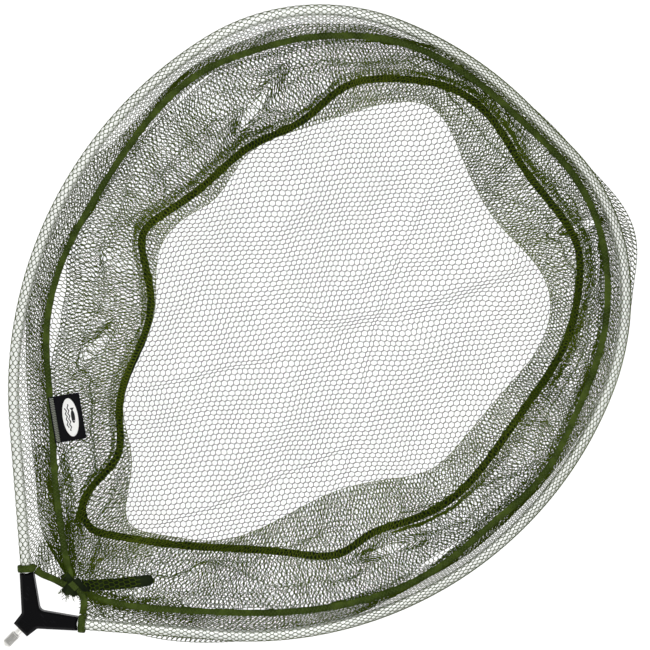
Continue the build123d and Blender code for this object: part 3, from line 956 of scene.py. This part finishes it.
for name, start, stop, rows, z0, z1, seed, loose, paint, bands, *_ in FOLDS:
    folds.append(wall_layer(f"wall_netting_{name}_fold", start, stop, rows, z0, z1, seed, loose,
                            paint, bands))
for ob, fold in zip(folds, FOLDS):
    z0, z1, shares = fold[4], fold[5], fold[10]
    tie(ob, z0, shares[0], z1, shares[1])
    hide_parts("wall_net")

# ---- sleeve netting round the hoop ----
START = 21.0
span = HOOP.length - 2 * START
edge = np.vstack([np.array(HEM_RIGHT), RIM.p[::-1][::6], np.array(HEM_LEFT)[::-1]])
EDGE = Run(edge, False)


def edge_match(s):
    """For each place on the hoop, how far inwards the sleeve's sewn edge lies."""
    at, n = HOOP.at(s), HOOP.left(s, 6.0)
    out = np.zeros(len(s))
    for k in range(len(s)):
        rel = EDGE.p - at[k]
        fwd = rel @ n[k]
        off = np.abs(rel @ np.array([n[k][1], -n[k][0]]))
        ok = (fwd > 2) & (fwd < 60)
        out[k] = fwd[ok][off[ok].argmin()] if ok.any() else 20.0
    return out


ticks = np.linspace(START + 2, HOOP.length - START - 2, 240)
width = edge_match(ticks)
pad = np.pad(width, 4, mode="edge")
width = np.convolve(pad, np.ones(9) / 9, "valid")
cols, rows = SLEEVE_CELLS
ends, joint = hex_edges(cols, rows, SLEEVE_JOINT)
p, q = ends.reshape(-1, 2).T
q = START + 1.0 + (q / rows) * (span - 2.0)
t = np.clip(p / (cols - 0.5), 0, 1)
reach = np.maximum(np.interp(q, ticks, width) - 2.0, 8.0)
WRAP, EDGE_Z = 5.8, -1.9
xy0, n0 = HOOP.at(q), HOOP.left(q, 4.0)
# the strip runs straight from the tape to the tube, round the tube and straight back below
far = np.hypot(reach, EDGE_Z)
dip = np.arctan2(EDGE_Z, reach)
open_angle = np.arccos(WRAP / far)
free = np.sqrt(far ** 2 - WRAP ** 2)
arc = WRAP * (2 * np.pi - 2 * open_angle)
run_along = t * (2 * free + arc)
turn = dip + open_angle + np.clip(run_along - free, 0, arc) / WRAP
inward, z = WRAP * np.cos(turn), WRAP * np.sin(turn)
slack = np.maximum(free - run_along, run_along - free - arc) / free
slack = np.clip(slack, 0, 1)
inward += (reach - inward) * slack
z += (EDGE_Z - z) * slack
belly = np.sin(np.pi * slack)
spot = xy0 + inward[:, None] * n0
z += belly * (0.5 * wobble(spot, 17.0, 6.0) - 0.25)
inward += belly * 1.2 * wobble(spot, 19.0, 44.0)
z = np.clip(z, -7.4, 6.0)
q2 = q + 1.5 * wobble(spot, 26.0, 51.0) + 0.5 * wobble(spot, 9.0, 53.0)
xy = HOOP.at(q2) + HOOP.left(q2, 4.0) * inward[:, None]
xyz = np.column_stack([xy, z]).reshape(-1, 2, 3)
keep = np.linalg.norm(xyz[:, 0] - xyz[:, 1], axis=1) < 14
weight = np.where(joint, *SLEEVE_HEAVY)
sleeve = strands("sleeve_netting", xyz[keep], weight[keep], SLEEVE_YARN, NET)
fit(sleeve, "head", "net", "sleeve_net")

# ---- netting crowded into the throat ----
def beside_rim(s0, s1, side, across, cols, z, seed):
    """Cells along the rim tape from s0 to s1, across = (width at s0, width at s1)."""
    long = abs(s1 - s0)
    ends, _ = hex_edges(cols, int(long / 3.7), 0.22)
    p, q = ends.reshape(-1, 2).T
    k = np.clip(q / int(long / 3.7), 0, 1)
    off = (p / cols - 0.5) * (across[0] + (across[1] - across[0]) * k ** 0.7) + side * k
    s = s0 + (s1 - s0) * k * (1 + 0.12 * np.sin(p * 0.9 + seed))
    xy = RIM.at(s) + RIM.left(s, 4.0) * off[:, None]
    for axis in (0, 1):
        xy[:, axis] += (0.4 + k) * 2.2 * wobble(xy, 14.0, seed + axis * 7)
    return np.column_stack([xy, z + 0.35 * wobble(xy, 9.0, seed + 3)])


def patch(a, b, c, d, cols, rows, z, seed):
    """Cells over the four-sided patch a b c d."""
    ends, _ = hex_edges(cols, rows, 0.25)
    p, q = ends.reshape(-1, 2).T
    u, v = np.clip(p / cols, 0, 1)[:, None], np.clip(q / rows, 0, 1)[:, None]
    a, b, c, d = (np.array(x, float) for x in (a, b, c, d))
    xy = (1 - u) * (1 - v) * a + u * (1 - v) * b + u * v * c + (1 - u) * v * d
    inner = 16 * u * (1 - u) * v * (1 - v)
    xy = xy + inner * np.column_stack([wobble(xy, 11.0, seed), wobble(xy, 11.0, seed + 5)]) * 1.5
    return np.column_stack([xy, z + 0.3 * wobble(xy, 9.0, seed + 3)])


def roll(run, share0, share1, away, across, cols, z, seed):
    """A soft roll of crowded netting beside a tape, away from its line to the left."""
    s0, s1 = share0 * run.length, share1 * run.length
    rows = int(abs(s1 - s0) / 3.7)
    ends, _ = hex_edges(cols, rows, 0.24)
    p, q = ends.reshape(-1, 2).T
    k = q / rows
    s = s0 + (s1 - s0) * k
    swell = np.sin(np.pi * np.clip(k, 0, 1)) ** 0.5 * (0.75 + 0.35 * np.sin(s * 0.031 + seed))
    off = away * (0.6 + 0.4 * swell) + (p / cols - 0.5) * across * swell
    xy = run.at(s) + run.left(s, 6.0) * off[:, None]
    for axis in (0, 1):
        xy[:, axis] += 1.3 * wobble(xy, 12.0, seed + axis * 7)
    return np.column_stack([xy, z + 0.2 * wobble(xy, 9.0, seed + 3)])


crowd = [
    beside_rim(4, 128, 4.0, (9, 36), 9, -5.9, 2.0),
    beside_rim(4, 112, -3.0, (9, 30), 8, -5.0, 12.0),
    beside_rim(3, 62, 0.0, (10, 22), 7, -3.5, 32.0),
    beside_rim(RIM.length - 4, RIM.length - 120, 2.0, (8, 24), 6, -5.6, 42.0),
    beside_rim(RIM.length - 4, RIM.length - 80, -3.0, (8, 18), 6, -4.3, 52.0),
    patch((-35, 58), (3, 70), (-14, 88), (-50, 84), 9, 6, -1.9, 3.0),
    patch((-33, 59), (3, 70), (-18, 92), (-48, 86), 8, 6, -4.4, 13.0),
    patch((35, 60), (12, 72), (30, 84), (54, 74), 6, 5, -1.9, 23.0),
    patch((35, 60), (12, 72), (28, 86), (54, 76), 6, 5, -4.4, 33.0),
    patch((14, 66), (56, 86), (52, 128), (-6, 96), 10, 11, -1.15, 43.0),
]
rim_rolls = [
    roll(RIM, 0.58, 0.86, -4.5, 13.0, 5, -3.9, 5.0),
    roll(RIM, 0.63, 0.80, -6.5, 9.0, 3, -4.4, 15.0),
    roll(RIM, 0.20, 0.42, -5.0, 11.0, 4, -4.1, 25.0),
    roll(RIM, 0.04, 0.20, 5.0, 12.0, 4, -4.1, 35.0),
]
base_rolls = [
    roll(BASE, 0.42, 0.80, 10.0, 13.0, 5, -6.0, 6.0),
    roll(BASE, 0.47, 0.66, 12.5, 12.0, 4, -5.7, 16.0),
    roll(BASE, 0.14, 0.42, 9.5, 12.0, 4, -6.0, 26.0),
    roll(BASE, 0.20, 0.31, 13.0, 11.0, 4, -5.7, 36.0),
    roll(BASE, 0.02, 0.14, 9.0, 11.0, 4, -6.0, 46.0),
]


def crowded(name, parts, body, half=0.33):
    all_ends = np.concatenate([c.reshape(-1, 2, 3) for c in parts])
    all_ends = all_ends[np.linalg.norm(all_ends[:, 0] - all_ends[:, 1], axis=1) < 12]
    # throat netting and rolls take the darker netting, painted shade
    ob = strands(name, all_ends, np.ones(len(all_ends)), (half, 0.2), NET_PAINTED_SHADE)
    fit(ob, body, "net")


crowded("throat_netting", crowd, "head", 0.38)
crowded("rim_netting_rolls", rim_rolls, "head")
crowded("base_netting_rolls", base_rolls, "bag_floor")

# ---- hems and throat ----
for name, line, sign in (("left", HEM_LEFT, -1), ("right", HEM_RIGHT, 1)):
    mouth = np.array([sign * ARM_TIP[0], ARM_TIP[1]])
    run = np.array([sign * way[0], way[1]])
    nrm = np.array([run[1], -run[0]])
    verts = []
    N, K = 48, 16
    for i in range(N):
        a = 2 * math.pi * i / N
        out_r = 1 / math.sqrt((math.cos(a) / 8.9) ** 2 + (math.sin(a) / 7.3) ** 2)
        out_r *= 1 + 0.02 * math.sin(3 * a + sign) + 0.012 * math.sin(11 * a)
        for w, h in lozenge(7.3, 1.9, 4, 3.0):
            r = out_r - 0.95 + h
            c = mouth + run * (4.2 + w) + nrm * (r * math.cos(a))
            verts.append((c[0], c[1], r * math.sin(a)))
    uv = [(i * 1.1, k * 1.1) for i in range(N) for k in range(K)]
    ring = mesh(f"hem_cuff_{name}", verts, grid(N, K, True, True), TAPE, uv)
    outward(ring)
    fit(ring, "head", "tape")
    hem = spline([(*p, 0.0) for p in line], False)
    s = np.linspace(0, hem.length, 40)
    xyz = hem.at(s)
    n = np.column_stack([hem.left(s)[:, :2], np.zeros(len(s))])
    xyz[:, 2] = -1.6 + np.linspace(1.3, 0.0, len(s)) ** 1.5
    sec = np.array([lozenge(7.1 * (1 - 0.12 * (k / 39) ** 2), 2.3, 4, 3.0) for k in range(40)])
    strip = swept(f"hem_strip_{name}", xyz, n, sec, TAPE)
    fit(strip, "head", "tape")
    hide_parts(f"sleeve_hem_{name}")
    stitch = zigzag(Run(hem.p[:, :2], False), 2, hem.length - 2, 1.9, 1.7, -0.35, seed=11 + sign)
    stitch = strands(f"hem_seam_{name}", stitch, np.ones(len(stitch)), SEAM_THREAD, THREAD)
    fit(stitch, "head", "thread")
    cuff = []
    for i in range(36):
        a = 2 * math.pi * i / 36
        for side_k in (0, 1):
            b = a + math.pi / 36 * side_k
            rr = 1 / math.sqrt((math.cos(b) / 8.95) ** 2 + (math.sin(b) / 7.4) ** 2) + 0.02
            w = 1.7 if side_k else -1.7
            c = mouth + run * (4.2 + w) + nrm * (rr * math.cos(b))
            cuff.append((c[0], c[1], rr * math.sin(b)))
    cuff = np.array(cuff + cuff[:1])
    cuff = strands(f"hem_cuff_seam_{name}", np.stack([cuff[:-1], cuff[1:]], 1),
                   np.ones(len(cuff) - 1), (0.22, 0.2), THREAD)
    fit(cuff, "head", "thread")

# the gather: tape and net drawn together in a few overlapping folds, held by a bar tack
verts, faces, uv = [], [], []
for f, (cx, cy, ang, lx, ly, zz) in enumerate((
    (8.0, 73.5, 20, 25, 10.5, -4.9), (3.0, 72.0, -15, 20, 9.5, -3.0),
    (11.0, 75.5, 48, 18, 8.5, -1.9), (6.5, 72.5, 78, 17, 9.0, -0.9), (7.5, 69.0, 8, 12, 6.5, -1.8),
)):
    n_u, n_v = 26, 16
    ca, sa = math.cos(math.radians(ang)), math.sin(math.radians(ang))
    first = len(verts)
    for i in range(n_u):
        t = i / (n_u - 1) * 2 - 1
        w = 1.3 * ly * (1 - 0.28 * t * t) * (1 + 0.10 * math.sin(5 * t + f))
        for x, h in lozenge(w, 2.6, 4, 2.4):
            px, py = t * lx * 0.62, x
            h += 0.35 * math.sin(px * 0.9 + f * 2) + 0.22 * math.sin(py * 1.7 + px)
            verts.append((cx + px * ca - py * sa, cy + px * sa + py * ca,
                          min(max(zz + h, -7.4), 0.62)))
            uv.append((px, py))
    for g in grid(n_u, n_v, False, True) + caps(n_u, n_v):
        faces.append(tuple(first + k for k in g))
throat = mesh("throat_folds", verts, faces, SEAM_TAPE, uv)
outward(throat)
fit(throat, "head", "tape", "throat_gather")
tack = []
for i in range(15):
    x = 2.0 + i * 0.62
    tack.append(((x, 71.2 + 0.3 * (i % 2), 0.62), (x + 0.5, 77.4 - 0.3 * (i % 3), 0.62)))
tack = strands("bar_tack", tack, np.ones(len(tack)), (0.3, 0.2), THREAD)
fit(tack, "head", "thread")
fray = []
local = np.random.default_rng(8)
for i in range(44):
    p = np.array([local.uniform(0, 14), local.uniform(62.0, 69.0), local.uniform(-4.5, -1.0)])
    d = np.array([local.normal(-0.1, 0.7), -1.0, local.normal(0, 0.12)])
    d /= np.linalg.norm(d)
    for _ in range(int(local.integers(3, 8))):
        q = p + d * 1.25
        q[2] = min(max(q[2], -6.5), -0.2)
        fray.append((p, q))
        p = q
        d = d + local.normal(0, 0.34, 3) * [1, 1, 0.3]
        d /= np.linalg.norm(d)
# frayed ends take the lighter netting, painted light
fray = strands("frayed_ends", np.array(fray), np.ones(len(fray)), SEAM_THREAD, NET_PAINTED_LIGHT)
fit(fray, "head", "net")

# ---- tape tail ----
tail = spline([(*p, 0.0) for p in TAIL], False)
round_end = tail.length + np.array([1.5, 3.0, 4.4, 5.3, 5.8])
s = np.concatenate([np.linspace(0, tail.length, 40), round_end])
xyz = tail.at(s)
d = tail.along(np.array([tail.length - 2]))[0]
beyond = np.clip(s - tail.length, 0, None)
xyz = xyz + beyond[:, None] * np.array([d[0], d[1], 0.0])
xyz[:, 2] = -2.35 + 0.10 * np.sin(s * 0.21)
n = np.column_stack([tail.left(s)[:, :2], np.zeros(len(s))])
wide = 11.6 * np.sqrt(np.clip(1 - (beyond / 5.95) ** 2, 0.01, 1)) * (1 - 0.10 * np.exp(-s / 12))
sec = np.array([lozenge(w, 1.5, 4, 3.2) for w in wide])
tongue = swept("tape_tongue", xyz, n, sec, SEAM_TAPE)
fit(tongue, "head", "tape", "tape_tail")

# ---- woven label ----
ang = math.radians(LABEL_ANGLE - 180)
lu, lv = np.array([math.cos(ang), math.sin(ang)]), np.array([-math.sin(ang), math.cos(ang)])


def on_label(u, v, h):
    xy = np.array(LABEL_AT) + lu * u + lv * v
    ripple = 0.16 * math.sin(u * 0.16 + 0.6) * np.clip((v - 8) / 20, 0, 1)
    bend = -0.02 * np.clip(v - 10, 0, None) + ripple
    return (xy[0], xy[1], -0.32 + h + bend)


nu, nv = 48, 36
uu = np.linspace(-LABEL_LENGTH / 2, LABEL_LENGTH / 2, nu)
vv = np.linspace(0.0, LABEL_WIDTH, nv)
verts, uv, faces = [], [], []
for side_h in (0.56, 0.0):
    for i, u in enumerate(uu):
        for k, v in enumerate(vv):
            round_u = max(0.0, abs(u) - (LABEL_LENGTH / 2 - 1.0))
            trim = 0.0 if k < nv - 1 else round_u * 0.6
            verts.append(on_label(u, v - trim, side_h))
            uv.append((u, v))
top_f = grid(nu, nv)
faces += top_f + [tuple(nu * nv + x for x in f[::-1]) for f in top_f]
rim_i = [k for k in range(nv)] + [i * nv + nv - 1 for i in range(1, nu)]
rim_i += [(nu - 1) * nv + k for k in range(nv - 2, -1, -1)] + [i * nv for i in range(nu - 2, 0, -1)]
for a, b in zip(rim_i, rim_i[1:] + rim_i[:1]):
    faces.append((a, b, nu * nv + b, nu * nv + a))
label = mesh("woven_label", verts, faces, LABEL, uv, crease=50)
outward(label)
hinge = np.array(LABEL_AT) + lv * LABEL_SEWN
h0, h1 = hinge - lv * 1.2, hinge + lv * 2.2
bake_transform(label, "head", "label", (h0[0] * MM, h0[1] * MM, 0), (h1[0] * MM, h1[1] * MM, 0))
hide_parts("label_sewn_edge", "label_flap")

rings, seg = 14, 64
verts, uv = [], []
for j in range(rings + 1):
    k = j / rings
    for i in range(seg):
        a = 2 * math.pi * i / seg
        u, v = 19.3 * k * math.cos(a), 7.65 * k * math.sin(a)
        thick = 0.68 if j < rings else 0.56
        verts.append(on_label(u, v + LABEL_SEWN + 12.2, thick))
        uv.append((u * 0.78, v * 0.78))
verts += [(x, y, z - 0.1) for x, y, z in verts[-seg:]]
uv += uv[-seg:]
faces = grid(rings + 2, seg, wrap_cols=True)
faces.append(tuple(range((rings + 1) * seg, (rings + 2) * seg)))
motif = mesh("motif_patch", verts, faces, MOTIF, uv)
outward(motif)
fit(motif, "label", "label_white", "label_motif")

zz = []
count = 26
for i in range(count):
    u0, u1 = (-22.3 + 44.6 * i / count), (-22.3 + 44.6 * (i + 0.5) / count)
    u2 = -22.3 + 44.6 * (i + 1) / count
    a, b, c = on_label(u0, 1.2, 0.66), on_label(u1, 5.4, 0.66), on_label(u2, 1.2, 0.66)
    zz += [(a, b), (b, c)]
zz = strands("label_seam", np.array(zz), np.ones(len(zz)), (0.2, 0.16), LABEL_THREAD)
fit(zz, "head", "thread", "label_stitching")


# ---- cloth sizes ----
def yarn_share(cell, half, thread, sides, heavy):
    """The yarn's surface as a share of a flat panel of honeycomb cells.
    cell is (across, along), half a joint's half length in cells, thread the yarn's half width and
    half thickness, and heavy the relative thickness of joints and of legs."""
    joints = 2 * half * cell[1] * heavy[0]
    legs = 2 * math.hypot(0.5 * cell[0], (1 - 2 * half) * cell[1]) * heavy[1]
    turn = np.arange(sides + 1) * 2 * math.pi / sides
    ring = np.column_stack([thread[0] * np.cos(turn), thread[1] * np.sin(turn)])
    girth = np.linalg.norm(np.diff(ring, axis=0), axis=1).sum()
    return (joints + legs) * girth / (cell[0] * cell[1])


def panel_area(run):
    """Square metres inside a closed outline."""
    x, y = run.p.T
    return abs(np.dot(x, np.roll(y, -1)) - np.dot(y, np.roll(x, -1))) / 2 * MM * MM


def netting(width, length, yarn, panel=None):
    """Netting is mostly holes, so its flat area is its yarn's surface in the panel that was cut."""
    yarn * (panel or width * length)


netting(0.43, 0.62,
        yarn_share((CELL_P, CELL_Q), BASE_JOINT, BASE_YARN, 4, BASE_HEAVY), panel_area(BASE))
for ob, fold in zip(folds, FOLDS):
    rows, (width, length), rests_on = fold[3], fold[11], fold[12]
    cell = (length / MM / AROUND, width / MM / rows)
    netting(width, length,
            yarn_share(cell, WALL_JOINT, WALL_YARN, 3, WALL_HEAVY))
cell = tuple(cut / count for cut, count in zip(SLEEVE_CUT, SLEEVE_CELLS))
netting(0.062, 2.05,
        yarn_share(cell, SLEEVE_JOINT, SLEEVE_YARN, 4, SLEEVE_HEAVY))

# ---- ground, light and camera ----
ground_mat = Paint("white ground", (0.30, 0.30, 0.30), 1.0, 0.0, Specular_Ior_Level=0.0)
ground_mat.set("Emission Color", (1.0, 1.0, 1.0, 1.0))
ground_mat.set("Emission Strength", 0.82)
# the floor is below the bag at its deepest
FLOOR = LOW - FLOOR_DROP
corners = ((-9e3, -9e3), (9e3, -9e3), (9e3, 9e3), (-9e3, 9e3))
ground = mesh("Ground", [(x, y, FLOOR) for x, y in corners], [(0, 1, 2, 3)], ground_mat)
world = bpy.data.worlds.new("Studio")
bpy.context.scene.world = world
world.use_nodes = True
world.node_tree.nodes["Background"].inputs["Color"].default_value = (1.0, 1.0, 1.0, 1.0)
world.node_tree.nodes["Background"].inputs["Strength"].default_value = 0.95


def soft_light(name, place, aim, size, power):
    data = bpy.data.lights.new(name, "AREA")
    data.shape, data.size, data.energy = "DISK", size, power
    ob = bpy.data.objects.new(name, data)
    ob.location = place
    ob.rotation_mode = "QUATERNION"
    ob.rotation_quaternion = (Vector(aim) - Vector(place)).to_track_quat("-Z", "Y")
    bpy.context.scene.collection.objects.link(ob)


soft_light("Key", (-1.1, 1.3, 2.2), (0, 0.35, 0), 1.0, 9.0)
soft_light("Fill", (1.5, -0.6, 1.9), (0, 0.35, 0), 1.4, 4.0)

cam_data = bpy.data.cameras.new("Camera")
cam_data.lens, cam_data.sensor_width = 100.0, 36.0
cam = bpy.data.objects.new("Camera", cam_data)
cam.location = (-0.0002, 0.4364, 1.8055)
cam.rotation_euler = (0, 0, math.radians(45))
bpy.context.scene.collection.objects.link(cam)
bpy.context.scene.camera = cam
bpy.context.scene.view_settings.view_transform = "Standard"
